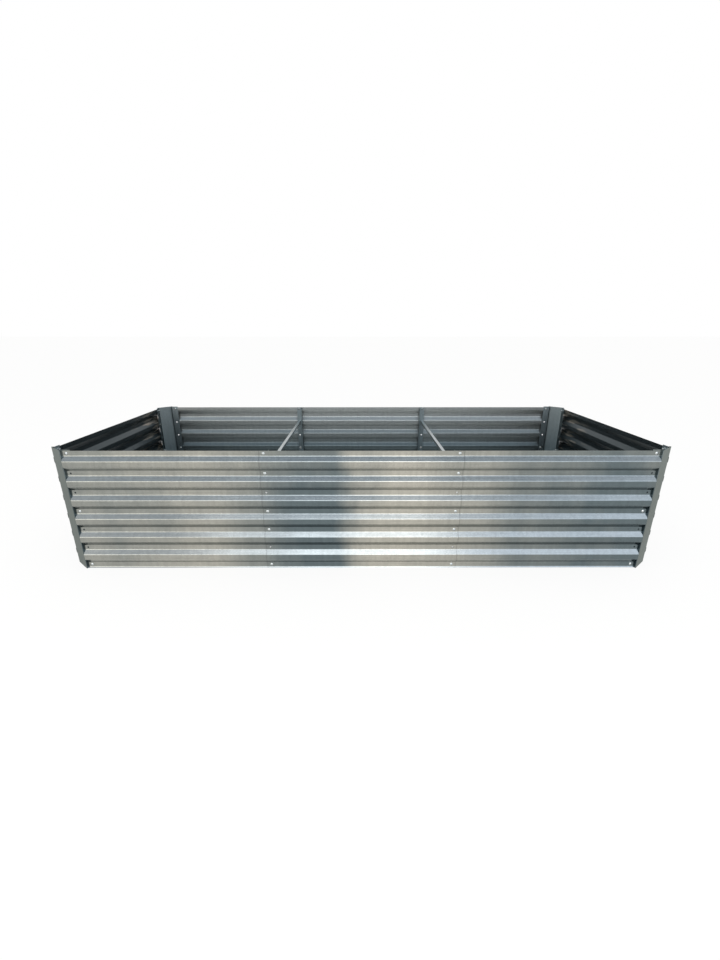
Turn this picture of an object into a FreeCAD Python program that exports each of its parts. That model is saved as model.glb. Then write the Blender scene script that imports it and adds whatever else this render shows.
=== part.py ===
import FreeCAD, Part
import math
import os
import re
import Sketcher

# Raised garden bed: a rectangular ring of corrugated steel sheet, open at the top and at
# the bottom, bolted to four folded corner posts and held across by two tie bars.
#
# Frame: millimetres, +X along the bed's length, +Y from the front wall to the back wall,
# +Z up. The origin is on the ground at the middle of the bed.
#
# Every piece is drawn in its wall's own frame: X along the wall, Y straight out of the
# bed, Z up from the ground, with Y = 0 on the plane where the posts' flanges and the
# seam stiffeners meet the inside of the sheet. Its Placement then turns it to its wall.

# Driving sizes: name, millimetres or a count, and what it is.
SIZES = [
    ("bed_length", 2440, "overall length, over the short walls"),
    ("bed_width", 1220, "overall width, over the long walls"),
    ("rib_count", 6, "outward ribs up the height of a wall"),
    ("rib_pitch", 78.3, "height from one rib to the next, and from bolt to bolt"),
    ("rib_depth", 14, "how far a rib stands out from the valleys"),
    ("valley_flat", 20, "height of a valley's flat, where the bolts sit"),
    ("crest_flat", 20, "height of a rib's flat top"),
    ("bend_radius", 8, "radius of the sheet's rolled bends"),
    ("sheet", 0.6, "thickness of the corrugated sheet"),
    ("top_land", 10, "flat sheet above the top bolt row"),
    ("bottom_land", 10, "flat sheet below the bottom bolt row"),
    ("toe_height", 5, "height of the outward toe on the bottom edge"),
    ("lap_gap", 0.2, "air between two sheets where they lap"),
    ("hole_edge", 17, "bolt column to the end of a sheet"),
    ("hole_slack", 0.5, "radial room round a bolt in its hole"),
    ("post_leg", 57, "corner where the sheets' planes cross to a post's flange"),
    ("post_sheet", 1.2, "thickness of a corner post"),
    ("post_bend", 0.5, "inner radius of a corner post's folds"),
    ("post_flange", 34, "width of a corner post's bolting flange"),
    ("post_reach", 11, "how far a post's slanted face stands out beside the sheets' ends"),
    ("post_rise", 4, "how far the posts stand above the sheets"),
    ("post_gap", 0.5, "gap between a sheet's end and the post's fold"),
    ("stiff_sheet", 1.5, "thickness of a seam stiffener"),
    ("stiff_width", 30, "leg of a seam stiffener that lies on the wall"),
    ("stiff_depth", 20, "leg of a seam stiffener that stands into the bed"),
    ("stiff_edge", 11, "bolt column to the stiffener's free edge"),
    ("stiff_end", 9, "stiffener beyond its first and last bolt"),
    ("bar_size", 15, "side of the square tie bar"),
    ("bar_wall", 1.2, "wall of the tie bar's tube"),
    ("bar_corner", 2, "outer corner radius of the tie bar"),
    ("bar_bore_corner", 0.8, "corner radius of the tie bar's bore and of its plugs"),
    ("bar_row", 2, "bolt row that holds the tie bars, counted from the top"),
    ("plug_length", 20, "length of the threaded plug in a tie bar's end"),
    ("plug_fit", 0.1, "gap between a plug and its tube"),
    ("column_bolts", 3, "bolts in a column, spread evenly over the bolt rows"),
    ("bolt_radius", 3, "radius of a bolt's shank"),
    ("bolt_length", 12, "bolt below its head"),
    ("bolt_tip", 0.8, "bevel on a bolt's tip"),
    ("head_radius", 6, "radius of a bolt's domed head"),
    ("head_height", 3.4, "height of a bolt's domed head"),
    ("head_rim", 0.9, "straight rim under the dome"),
    ("slot_span", 5.6, "end to end of the cross slot in a head"),
    ("slot_width", 1.3, "width of the cross slot"),
    ("slot_depth", 1.7, "depth of the cross slot from the dome's top"),
    ("nut_flats", 10, "nut across its flats"),
    ("nut_height", 6, "height of a nut with its flange"),
    ("nut_flange_radius", 6.6, "radius of a nut's flange"),
    ("nut_flange", 1.3, "thickness of a nut's flange"),
    ("thread_gap", 0.15, "radial gap that stands for the thread"),
]
SIZE_NAMES = {name for name, number, note in SIZES}

# Formulas that several pieces share. Each is text over the names above.
TOE_FOOT = "(toe_height + bottom_land)"
TOP_ROW = f"({TOE_FOOT} + rib_count * rib_pitch)"
SHEET_TOP = f"({TOP_ROW} + top_land)"
MIDDLE_ROW = f"({TOE_FOOT} + rib_count * rib_pitch / 2)"
BAR_ROW = f"({TOP_ROW} - (bar_row - 1) * rib_pitch)"
RIB_SLOPE = "((rib_pitch - valley_flat - crest_flat) / 2)"
TOE_REACH = f"(toe_height * rib_depth / {RIB_SLOPE})"
INSET = "(rib_depth + 2 * sheet + lap_gap)"
LAP = "(2 * hole_edge)"
LAP_LIFT = "(sheet + lap_gap)"
SEAM_LIFT = "(2 * sheet + lap_gap)"
LONG_WALL = f"(bed_width / 2 - {INSET})"
SHORT_WALL = f"(bed_length / 2 - {INSET})"
LONG_RUN = f"(2 * ({SHORT_WALL} - post_leg - post_gap))"
LONG_SHEET = f"(({LONG_RUN} + 2 * {LAP}) / 3)"
SHORT_SHEET = f"(2 * ({LONG_WALL} - post_leg - post_gap))"
CORNER_BOLT = "(post_leg + post_gap + hole_edge)"
LONG_CORNER = f"({SHORT_WALL} - {CORNER_BOLT})"
SHORT_CORNER = f"({LONG_WALL} - {CORNER_BOLT})"
SEAM = f"({LONG_SHEET} / 2 - hole_edge)"
HOLE_RADIUS = "(bolt_radius + hole_slack)"
ROW_SPAN = "(rib_count * rib_pitch)"
BOLT_STEP = f"({ROW_SPAN} / (column_bolts - 1))"

# Turn about the vertical that carries a piece from its wall's frame to each wall.
WALL_TURN = {"front": 180, "back": 0, "left": 90, "right": -90}
# Which way along X and Y the wall faces, seen from the middle of the bed.
WALL_SIDE = {"front": (0, -1), "back": (0, 1), "left": (-1, 0), "right": (1, 0)}

doc = FreeCAD.newDocument("RaisedBed")


def fill_sheet():
    """Write the driving sizes into the spreadsheet, one named cell each."""
    cells = doc.addObject("Spreadsheet::Sheet", "Sizes")
    for row, (name, number, note) in enumerate(SIZES, start=1):
        cells.set(f"A{row}", name)
        cells.set(f"B{row}", str(number))
        cells.setAlias(f"B{row}", name)
        cells.set(f"C{row}", note)
    doc.recompute()
    return cells


sizes = fill_sheet()


def formula(text):
    """Point every size's name in a formula at its cell."""
    def cell(match):
        word = match.group()
        return "Sizes." + word if word in SIZE_NAMES else word
    return re.sub(r"[a-z_]+", cell, str(text))


def value(text):
    """A formula's present value."""
    return float(sizes.evalExpression(formula(text)))


# ---------------------------------------------------------------- sketches and features

def origin_part(body, role):
    """The body's own origin plane or axis with this role."""
    return [part for part in body.Origin.OriginFeatures if part.Role == role][0]


def new_sketch(body, name, role, lift="0"):
    """A sketch on one of the body's origin planes, lifted along the plane's normal."""
    sketch = body.newObject("Sketcher::SketchObject", name)
    sketch.AttachmentSupport = [(origin_part(body, role), "")]
    sketch.MapMode = "FlatFace"
    sketch.setExpression("AttachmentOffset.Base.z", formula(lift))
    return sketch


def pin(sketch, edge, end, across, up):
    """Hold one point of a sketch at two formulas, measured from the sketch's origin."""
    for kind, text in (("DistanceX", across), ("DistanceY", up)):
        index = sketch.addConstraint(Sketcher.Constraint(kind, -1, 1, edge, end, value(text)))
        sketch.setExpression(f"Constraints[{index}]", formula(text))


def draw_outline(sketch, corners):
    """Draw a closed outline of straight lines through corners given as formula pairs."""
    first = sketch.GeometryCount
    count = len(corners)
    points = [FreeCAD.Vector(value(across), value(up), 0) for across, up in corners]
    for index in range(count):
        sketch.addGeometry(Part.LineSegment(points[index], points[(index + 1) % count]))
    for index in range(count):
        following = first + (index + 1) % count
        sketch.addConstraint(Sketcher.Constraint("Coincident", first + index, 2, following, 1))
    for index, (across, up) in enumerate(corners):
        pin(sketch, first + index, 1, across, up)


def draw_circle(sketch, across, up, radius):
    """Draw a circle with its centre and radius held by formulas."""
    centre = FreeCAD.Vector(value(across), value(up), 0)
    edge = sketch.addGeometry(Part.Circle(centre, FreeCAD.Vector(0, 0, 1), value(radius)))
    pin(sketch, edge, 3, across, up)
    index = sketch.addConstraint(Sketcher.Constraint("Radius", edge, value(radius)))
    sketch.setExpression(f"Constraints[{index}]", formula(radius))


def box_corners(left, bottom, right, top):
    """The four corners of an upright rectangle."""
    return [(left, bottom), (right, bottom), (right, top), (left, top)]


def pad(body, name, sketch, length, both_ways=False, backwards=False):
    """Thicken a sketch along its plane's normal."""
    feature = body.newObject("PartDesign::Pad", name)
    feature.Profile = sketch
    feature.Midplane = both_ways
    feature.Reversed = backwards
    feature.setExpression("Length", formula(length))
    doc.recompute()
    return feature


def cut_through(body, name, sketch):
    """Cut a sketch right through the body, both ways from its plane."""
    before = body.Shape.Volume
    feature = body.newObject("PartDesign::Pocket", name)
    feature.Profile = sketch
    feature.Midplane = True
    feature.Type = "ThroughAll"
    doc.recompute()
    if body.Shape.Volume >= before:
        raise ValueError(f"{body.Label}: {name} cuts nothing")
    return feature


def repeat_up(body, name, span, copies, features=()):
    """Repeat features, or without any the whole body, up the wall over a span."""
    pattern = body.newObject("PartDesign::LinearPattern", name)
    if features:
        pattern.Originals = list(features)
    else:
        pattern.TransformMode = "Whole shape"
    pattern.Direction = (origin_part(body, "Z_Axis"), [""])
    pattern.setExpression("Length", formula(span))
    pattern.setExpression("Occurrences", formula(copies))
    body.Tip = pattern
    doc.recompute()
    return pattern


def round_edges(body, name, radius, chosen):
    """Round the edges of the body's present shape that the test picks."""
    base = body.Tip
    names = [f"Edge{number}" for number, edge in enumerate(base.Shape.Edges, start=1)
             if chosen(edge)]
    if not names:
        raise ValueError(f"{body.Label}: {name} finds no edge")
    feature = body.newObject("PartDesign::Fillet", name)
    feature.Base = (base, names)
    feature.setExpression("Radius", formula(radius))
    doc.recompute()
    return feature


def runs_along(edge, axis):
    """True for a straight edge that runs along an axis."""
    return edge.Curve.TypeId == "Part::GeomLine" and abs(edge.Curve.Direction.dot(axis)) > 0.999


def new_body(label):
    """An empty body whose label names its file."""
    body = doc.addObject("PartDesign::Body", label)
    body.Label = label
    return body


def stand(body, wall, along="0", out="0", up="0", turned_over=False):
    """Turn a piece to its wall and set it along, out from and up that wall."""
    side_x, side_y = WALL_SIDE[wall]
    turn = FreeCAD.Rotation(FreeCAD.Vector(0, 0, 1), WALL_TURN[wall])
    if turned_over:
        turn = turn.multiply(FreeCAD.Rotation(FreeCAD.Vector(0, 1, 0), 180))
    body.Placement = FreeCAD.Placement(FreeCAD.Vector(0, 0, 0), turn)
    plane = LONG_WALL if side_y else SHORT_WALL
    place_out = f"({plane} + ({out}))"
    place_x = along if side_y else f"{side_x} * {place_out}"
    place_y = f"{side_y} * {place_out}" if side_y else along
    body.setExpression("Placement.Base.x", formula(place_x))
    body.setExpression("Placement.Base.y", formula(place_y))
    body.setExpression("Placement.Base.z", formula(up))


# --------------------------------------------------------------------- corrugated sheets

def sheet_section(base_line):
    """The outline of a sheet from its inner line, which is moved out by one thickness."""
    outer_line = [(f"{out} + sheet", up) for out, up in base_line]
    return base_line + outer_line[::-1]


def corrugated_sheet(label, length):
    """One sheet: a rib's section rolled along the wall, repeated up it, bolted at both ends."""
    body = new_body(label)

    rib = new_sketch(body, label + "_rib_section", "YZ_Plane")
    rib_start = TOE_FOOT
    crest_start = f"{rib_start} + valley_flat / 2 + {RIB_SLOPE}"
    rib_line = [
        ("0", rib_start),
        ("0", f"{rib_start} + valley_flat / 2"),
        ("rib_depth", crest_start),
        ("rib_depth", f"{crest_start} + crest_flat"),
        ("0", f"{crest_start} + crest_flat + {RIB_SLOPE}"),
        ("0", f"{rib_start} + rib_pitch"),
    ]
    draw_outline(rib, sheet_section(rib_line))
    pad(body, label + "_rib", rib, length, both_ways=True)
    lengthwise = FreeCAD.Vector(1, 0, 0)
    first_row = value(TOE_FOOT)
    second_row = value(f"{TOE_FOOT} + rib_pitch")
    touch = value("sheet") / 10

    def is_rib_bend(edge):
        inside = first_row + touch < edge.BoundBox.Center.z < second_row - touch
        return inside and runs_along(edge, lengthwise)

    round_edges(body, label + "_rib_bends", "bend_radius", is_rib_bend)
    repeat_up(body, label + "_ribs", "(rib_count - 1) * rib_pitch", "rib_count")

    top = new_sketch(body, label + "_top_section", "YZ_Plane")
    draw_outline(top, sheet_section([("0", TOP_ROW), ("0", SHEET_TOP)]))
    pad(body, label + "_top_land", top, length, both_ways=True)

    toe = new_sketch(body, label + "_toe_section", "YZ_Plane")
    draw_outline(toe, sheet_section([(TOE_REACH, "0"), ("0", "toe_height"), ("0", TOE_FOOT)]))
    pad(body, label + "_toe", toe, length, both_ways=True)

    toe_bend = value("toe_height")

    def is_toe_bend(edge):
        at_bend = abs(edge.BoundBox.Center.z - toe_bend) < touch
        return at_bend and runs_along(edge, lengthwise)

    round_edges(body, label + "_toe_bend", "bend_radius", is_toe_bend)

    holes = new_sketch(body, label + "_hole_row", "XZ_Plane")
    for side in ("-1", "1"):
        draw_circle(holes, f"{side} * ({length} / 2 - hole_edge)", TOE_FOOT, HOLE_RADIUS)
    row = cut_through(body, label + "_holes", holes)
    repeat_up(body, label + "_hole_rows", ROW_SPAN, "rib_count + 1", [row])
    return body


def build_walls():
    """Three lapped sheets on each long wall, the middle one outside, and one on each end."""
    pieces = []
    for wall in ("front", "back"):
        for place, side in (("left", "-1"), ("right", "1")):
            piece = corrugated_sheet(f"{wall}_sheet_{place}", LONG_SHEET)
            stand(piece, wall, along=f"{side} * ({LONG_SHEET} - {LAP})")
            pieces.append(piece)
        middle = corrugated_sheet(f"{wall}_sheet_middle", LONG_SHEET)
        stand(middle, wall, out=LAP_LIFT)
        pieces.append(middle)
    for wall in ("left", "right"):
        piece = corrugated_sheet(f"{wall}_end_sheet", SHORT_SHEET)
        stand(piece, wall)
        pieces.append(piece)
    return pieces


# -------------------------------------------------------------------------- corner posts

def post_outline():
    """A post's folded section, its arms along +X and +Y from where the walls' planes cross.

    A flange lies behind each wall's sheet and folds out beside the sheet's end, and the
    slanted face cuts across the corner between the two folds. The slanted face's sharp
    edges stand out further than post_reach, by as much as their rounding takes off.
    """
    reach = "(post_reach + sqrt(2) * (post_bend + post_sheet))"
    inner_fold = "(post_leg - post_sheet)"
    inner_slant = f"(post_sheet * (1 + sqrt(2)) - {reach})"
    flange_end = "(post_leg + post_flange)"
    half = [
        (flange_end, "post_sheet"),
        (flange_end, "0"),
        ("post_leg", "0"),
        ("post_leg", f"-1 * {reach}"),
    ]
    inner_half = [("post_sheet", inner_fold), (inner_slant, inner_fold)]
    outer = half + [(up, across) for across, up in half[::-1]]
    # From the first flange's end round the outside to the other's, and back inside.
    return outer + inner_half + [(up, across) for across, up in inner_half[::-1]]


def corner_post(label, wall, along_sign, across_sign):
    """One corner post, standing on the ground, turned to its corner."""
    body = new_body(label)
    section = new_sketch(body, label + "_section", "XY_Plane")
    corners = post_outline()
    draw_outline(section, corners)
    pad(body, label + "_wall", section, f"{SHEET_TOP} + post_rise")

    upright = FreeCAD.Vector(0, 0, 1)
    points = [(value(across), value(up)) for across, up in corners]
    touch = value("post_sheet") / 10

    def stands_at(places):
        def chosen(edge):
            if not runs_along(edge, upright):
                return False
            centre = edge.BoundBox.Center
            return any(math.hypot(centre.x - x, centre.y - y) < touch for x, y in places)
        return chosen

    # Outline order: flange end (2), fold beside the sheet, slant's edge, slant's edge, fold
    # beside the sheet, flange end (2), and then the four corners inside those folds.
    wide = [points[3], points[4], points[8], points[11]]
    tight = [points[2], points[5], points[9], points[10]]
    round_edges(body, label + "_outer_folds", "post_bend + post_sheet", stands_at(wide))
    round_edges(body, label + "_inner_folds", "post_bend", stands_at(tight))

    for flange, plane in (("first", "XZ_Plane"), ("second", "YZ_Plane")):
        holes = new_sketch(body, f"{label}_{flange}_hole", plane)
        draw_circle(holes, CORNER_BOLT, TOE_FOOT, HOLE_RADIUS)
        row = cut_through(body, f"{label}_{flange}_holes", holes)
        repeat_up(body, f"{label}_{flange}_hole_rows", ROW_SPAN, "rib_count + 1", [row])

    body.Placement = FreeCAD.Placement(
        FreeCAD.Vector(0, 0, 0), FreeCAD.Rotation(upright, WALL_TURN[wall]))
    body.setExpression("Placement.Base.x", formula(f"{along_sign} * {SHORT_WALL}"))
    body.setExpression("Placement.Base.y", formula(f"{across_sign} * {LONG_WALL}"))
    return body


def build_posts():
    """Four equal posts, each turned a quarter further round the bed."""
    return [
        corner_post("corner_post_front_left", "back", "-1", "-1"),
        corner_post("corner_post_front_right", "left", "1", "-1"),
        corner_post("corner_post_back_right", "front", "1", "1"),
        corner_post("corner_post_back_left", "right", "-1", "1"),
    ]


# --------------------------------------------------------------- stiffeners and tie bars

def seam_stiffener(label, wall, side, turned_over):
    """An angle bolted behind a seam, its free leg on the side of the bed's middle.

    It is drawn about its middle bolt row, so the same piece turned over makes the other
    hand.
    """
    body = new_body(label)
    section = new_sketch(body, label + "_section", "XY_Plane")
    far = "(stiff_width - stiff_edge)"
    draw_outline(section, [
        ("-1 * stiff_edge", "0"),
        ("-1 * stiff_edge", "-1 * stiff_sheet"),
        (f"{far} - stiff_sheet", "-1 * stiff_sheet"),
        (f"{far} - stiff_sheet", "-1 * stiff_depth"),
        (far, "-1 * stiff_depth"),
        (far, "0"),
    ])
    pad(body, label + "_angle", section, f"{ROW_SPAN} + 2 * stiff_end", both_ways=True)
    upright = FreeCAD.Vector(0, 0, 1)
    edge_x = value(far)
    fold_x = value(f"{far} - stiff_sheet")
    fold_y = value("-1 * stiff_sheet")
    touch = value("stiff_sheet") / 10

    def at(x, y):
        def chosen(edge):
            centre = edge.BoundBox.Center
            return runs_along(edge, upright) and math.hypot(centre.x - x, centre.y - y) < touch
        return chosen

    round_edges(body, label + "_outer_fold", "post_bend + stiff_sheet", at(edge_x, 0))
    round_edges(body, label + "_inner_fold", "post_bend", at(fold_x, fold_y))

    holes = new_sketch(body, label + "_hole", "XZ_Plane")
    draw_circle(holes, "0", f"-1 * {ROW_SPAN} / 2", HOLE_RADIUS)
    row = cut_through(body, label + "_holes", holes)
    repeat_up(body, label + "_hole_rows", ROW_SPAN, "rib_count + 1", [row])
    stand(body, wall, along=f"{side} * {SEAM}", up=MIDDLE_ROW, turned_over=turned_over)
    return body


def build_stiffeners():
    """Two stiffeners on each long wall."""
    return [
        seam_stiffener("seam_stiffener_front_left", "front", "-1", True),
        seam_stiffener("seam_stiffener_front_right", "front", "1", False),
        seam_stiffener("seam_stiffener_back_left", "back", "-1", False),
        seam_stiffener("seam_stiffener_back_right", "back", "1", True),
    ]


BAR_LENGTH = f"(2 * ({LONG_WALL} - stiff_sheet))"
BAR_BORE = "(bar_size - 2 * bar_wall)"


def square(size):
    """The corners of a square about the sketch's origin."""
    return box_corners(f"-1 * {size} / 2", f"-1 * {size} / 2", f"{size} / 2", f"{size} / 2")


def tie_bar(label, side):
    """A square tube across the bed, its ends against the two stiffeners."""
    body = new_body(label)
    section = new_sketch(body, label + "_section", "XZ_Plane")
    draw_outline(section, square("bar_size"))
    draw_outline(section, square(BAR_BORE))
    pad(body, label + "_tube", section, BAR_LENGTH, both_ways=True)
    lengthwise = FreeCAD.Vector(0, 1, 0)
    mid_wall = value(f"({BAR_BORE} + bar_wall) / 2")

    def outside(edge):
        return runs_along(edge, lengthwise) and abs(edge.BoundBox.Center.x) > mid_wall

    def inside(edge):
        centre = edge.BoundBox.Center
        in_bore = max(abs(centre.x), abs(centre.z)) < mid_wall
        return in_bore and runs_along(edge, lengthwise)

    round_edges(body, label + "_outer_corners", "bar_corner", outside)
    round_edges(body, label + "_inner_corners", "bar_bore_corner", inside)
    body.setExpression("Placement.Base.x", formula(f"{side} * {SEAM}"))
    body.setExpression("Placement.Base.z", formula(BAR_ROW))
    return body


def bar_plugs(label, side):
    """The two threaded plugs pressed into a tie bar's ends, flush with them."""
    body = new_body(label)
    size = f"({BAR_BORE} - 2 * plug_fit)"
    ends = []
    for name, sign, backwards in (("front", "1", True), ("back", "-1", False)):
        # The plane's normal points to the front, so the back end is below it.
        section = new_sketch(body, f"{label}_{name}", "XZ_Plane", f"{sign} * {BAR_LENGTH} / 2")
        draw_outline(section, square(size))
        draw_circle(section, "0", "0", "bolt_radius + thread_gap")
        ends.append(pad(body, f"{label}_{name}_plug", section, "plug_length",
                        backwards=backwards))
    lengthwise = FreeCAD.Vector(0, 1, 0)
    bore = value("bolt_radius + thread_gap")

    def outside(edge):
        return runs_along(edge, lengthwise) and abs(edge.BoundBox.Center.x) > bore

    round_edges(body, label + "_corners", "bar_bore_corner", outside)
    body.setExpression("Placement.Base.x", formula(f"{side} * {SEAM}"))
    body.setExpression("Placement.Base.z", formula(BAR_ROW))
    return body


def build_bars():
    """The two tie bars with their plugs."""
    pieces = []
    for place, side in (("left", "-1"), ("right", "1")):
        pieces.append(tie_bar(f"tie_bar_{place}", side))
        pieces.append(bar_plugs(f"tie_bar_plugs_{place}", side))
    return pieces


# ----------------------------------------------------------------------- bolts and nuts

def bolt_run(body, name, first_row, copies):
    """Domed bolts up a column from one row, with Y = 0 under their heads."""
    profile = new_sketch(body, name + "_profile", "XY_Plane", first_row)
    draw_outline(profile, [
        ("0", "head_height"),
        ("head_radius", "head_rim"),
        ("head_radius", "0"),
        ("bolt_radius", "0"),
        ("bolt_radius", "bolt_tip - bolt_length"),
        ("bolt_radius - bolt_tip", "-1 * bolt_length"),
        ("0", "-1 * bolt_length"),
    ])
    # The sloping line from the head's top to its rim becomes the dome's arc.
    rise = value("head_height - head_rim")
    reach = value("head_radius")
    dome_radius = (reach ** 2 + rise ** 2) / (2 * rise)
    centre = FreeCAD.Vector(0, value("head_height") - dome_radius, 0)
    rim_angle = math.atan2(value("head_rim") - centre.y, reach)
    circle = Part.Circle(centre, FreeCAD.Vector(0, 0, 1), dome_radius)
    dome = profile.addGeometry(Part.ArcOfCircle(circle, rim_angle, math.pi / 2))
    profile.addConstraint(Sketcher.Constraint("Coincident", dome, 1, 0, 2))
    profile.addConstraint(Sketcher.Constraint("Coincident", dome, 2, 0, 1))
    profile.addConstraint(Sketcher.Constraint("PointOnObject", dome, 3, -2))
    profile.toggleConstruction(0)

    turned = body.newObject("PartDesign::Revolution", name + "_bolt")
    turned.Profile = profile
    turned.ReferenceAxis = (profile, ["V_Axis"])
    turned.Angle = 360
    doc.recompute()

    slot = new_sketch(body, name + "_slot_section", "XZ_Plane", "slot_depth - head_height")
    long_half = "slot_span / 2"
    short_half = "slot_width / 2"
    quarter = [(long_half, short_half), (short_half, short_half), (short_half, long_half)]
    cross = (quarter
             + [(f"-1 * {across}", up) for across, up in quarter[::-1]]
             + [(f"-1 * {across}", f"-1 * {up}") for across, up in quarter]
             + [(across, f"-1 * {up}") for across, up in quarter[::-1]])
    draw_outline(slot, [(across, f"{first_row} + {up}") for across, up in cross])
    before = body.Shape.Volume
    cut = body.newObject("PartDesign::Pocket", name + "_slot")
    cut.Profile = slot
    cut.Type = "ThroughAll"
    doc.recompute()
    lost = before - body.Shape.Volume
    if not 0 < lost < value("slot_span * slot_span * slot_depth"):
        raise ValueError(f"{body.Label}: the cross slot points the wrong way")
    if value(copies) > 1:
        repeat_up(body, name + "_run", f"({copies} - 1) * {BOLT_STEP}", copies, [turned, cut])


def nut_stack(body, name, first_row, copies):
    """Flanged nuts up a column from one row, with Y = 0 on the face they clamp."""
    flange = new_sketch(body, name + "_flange_section", "XZ_Plane")
    draw_circle(flange, "0", first_row, "nut_flange_radius")
    draw_circle(flange, "0", first_row, "bolt_radius + thread_gap")
    flange_pad = pad(body, name + "_flange", flange, "nut_flange")

    hexagon = new_sketch(body, name + "_hex_section", "XZ_Plane")
    corner = "(nut_flats / sqrt(3))"
    corners = []
    for turn in range(6):
        angle = 60 * turn
        corners.append((f"{corner} * cos({angle} deg)",
                        f"{first_row} + {corner} * sin({angle} deg)"))
    draw_outline(hexagon, corners)
    draw_circle(hexagon, "0", first_row, "bolt_radius + thread_gap")
    hex_pad = pad(body, name + "_hex", hexagon, "nut_height")
    if value(copies) > 1:
        repeat_up(body, name + "_stack", f"({copies} - 1) * {BOLT_STEP}", copies,
                  [flange_pad, hex_pad])


def build_column(label, wall, along, grip, bolt_seat, at_seam):
    """One column of bolts through a wall, and the nuts on its inside.

    grip is how far inside the wall's plane the nuts seat, bolt_seat how far outside it
    the heads seat. At a seam a second run stands between the first run's bolts, with its
    top bolt in the tie bar's row, where the bar's plug takes it in place of a nut.
    """
    second_row = f"({BOLT_STEP} - (bar_row - 1) * rib_pitch)"
    bolts = new_body("bolts_" + label)
    nuts = new_body("nuts_" + label)
    bolt_run(bolts, bolts.Label + "_first", "0", "column_bolts")
    nut_stack(nuts, nuts.Label + "_first", "0", "column_bolts")
    if at_seam:
        bolt_run(bolts, bolts.Label + "_second", second_row, "(column_bolts - 1)")
        nut_stack(nuts, nuts.Label + "_second", second_row, "(column_bolts - 2)")
    stand(bolts, wall, along=along, out=bolt_seat, up=TOE_FOOT)
    stand(nuts, wall, along=along, out=f"-1 * {grip}", up=TOE_FOOT)
    return [bolts, nuts]


def build_fasteners():
    """Columns at the posts on every wall, and at the seams of the long walls.

    The sheets, posts and stiffeners have a hole in every row. Those with no bolt stay open.
    """
    pieces = []
    for wall in ("front", "back"):
        for place, side in (("left", "-1"), ("right", "1")):
            pieces += build_column(f"{wall}_post_{place}", wall, f"{side} * {LONG_CORNER}",
                                   "post_sheet", "sheet", False)
            pieces += build_column(f"{wall}_seam_{place}", wall, f"{side} * {SEAM}",
                                   "stiff_sheet", SEAM_LIFT, True)
    for wall in ("left", "right"):
        for place, side in (("front", "-1"), ("back", "1")):
            pieces += build_column(f"{wall}_post_{place}", wall, f"{side} * {SHORT_CORNER}",
                                   "post_sheet", "sheet", False)
    return pieces


# ------------------------------------------------------------------------ build and save

def check_all(pieces):
    """Stop if any object failed or any piece has no valid shape."""
    for item in doc.Objects:
        if "Invalid" in item.State or "Error" in item.State:
            raise ValueError(f"{item.Label} failed: {item.State}")
    for piece in pieces:
        if piece.Shape.isNull() or not piece.Shape.isValid():
            raise ValueError(f"{piece.Label} has no valid shape")


def save(pieces):
    """Write each piece's shape to its own file and print its size."""
    os.makedirs("parts", exist_ok=True)
    for piece in pieces:
        piece.Shape.exportStep(f"parts/{piece.Label}.step")
        box = piece.Shape.BoundBox
        print(f"{piece.Label:28} solids {len(piece.Shape.Solids)}  faces "
              f"{len(piece.Shape.Faces):4}  {box.XLength:7.1f} x {box.YLength:7.1f} x "
              f"{box.ZLength:6.1f}  z {box.ZMin:6.1f} .. {box.ZMax:6.1f}")


def main():
    """Build every piece, check it and write it."""
    pieces = build_walls() + build_posts() + build_stiffeners() + build_bars()
    pieces += build_fasteners()
    doc.recompute()
    check_all(pieces)
    save(pieces)
    print(len(pieces), "pieces in files of their own")


main()
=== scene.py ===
# %% [markdown]
# # A raised garden bed of corrugated steel
#
# The real bed is a ring of rolled steel sheets, bolted to four folded corner posts, with
# two square tubes that keep the long walls from bulging. Everything on it is zinc-coated
# steel, so its look is all in the shape of the bends and in what the zinc mirrors.
#
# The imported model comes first. It fixes every place and size. Its posts, stiffeners, bars
# and nuts stay, and get a finish. Its sheets and bolts are replaced by finer ones.

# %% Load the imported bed
import math

import bpy
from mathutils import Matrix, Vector


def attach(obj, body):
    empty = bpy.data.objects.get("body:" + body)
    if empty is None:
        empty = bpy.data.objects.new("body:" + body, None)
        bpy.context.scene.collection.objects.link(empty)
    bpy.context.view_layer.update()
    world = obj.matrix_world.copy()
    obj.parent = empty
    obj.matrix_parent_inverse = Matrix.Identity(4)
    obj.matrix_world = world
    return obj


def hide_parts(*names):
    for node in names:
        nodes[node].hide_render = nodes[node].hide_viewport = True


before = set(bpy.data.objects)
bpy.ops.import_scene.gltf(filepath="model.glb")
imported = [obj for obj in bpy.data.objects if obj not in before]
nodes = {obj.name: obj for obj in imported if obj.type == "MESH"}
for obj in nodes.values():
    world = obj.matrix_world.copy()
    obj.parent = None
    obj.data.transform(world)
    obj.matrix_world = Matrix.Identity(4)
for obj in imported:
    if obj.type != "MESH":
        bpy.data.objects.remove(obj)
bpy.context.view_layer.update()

# %% [markdown]
# ## The camera
#
# The photograph was taken from a little above the bed, close in, with a wide lens. Its
# lines give the camera's place: the upright edges of the posts run together far below, and
# the short walls run together far behind. The lens is wide, so the bed's long wall grows
# towards the viewer. A small upward shift keeps the framing, as a view camera would.

# %% Set up the camera
FRAME_HEIGHT = 960
FOCAL_PIXELS = 483.7
SHIFT_PIXELS = 56.96
CAMERA_PLACE = (-0.010, -2.425, 0.906)
LOOK_DOWN = math.radians(22.77)
TURN_RIGHT = math.radians(0.11)

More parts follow.
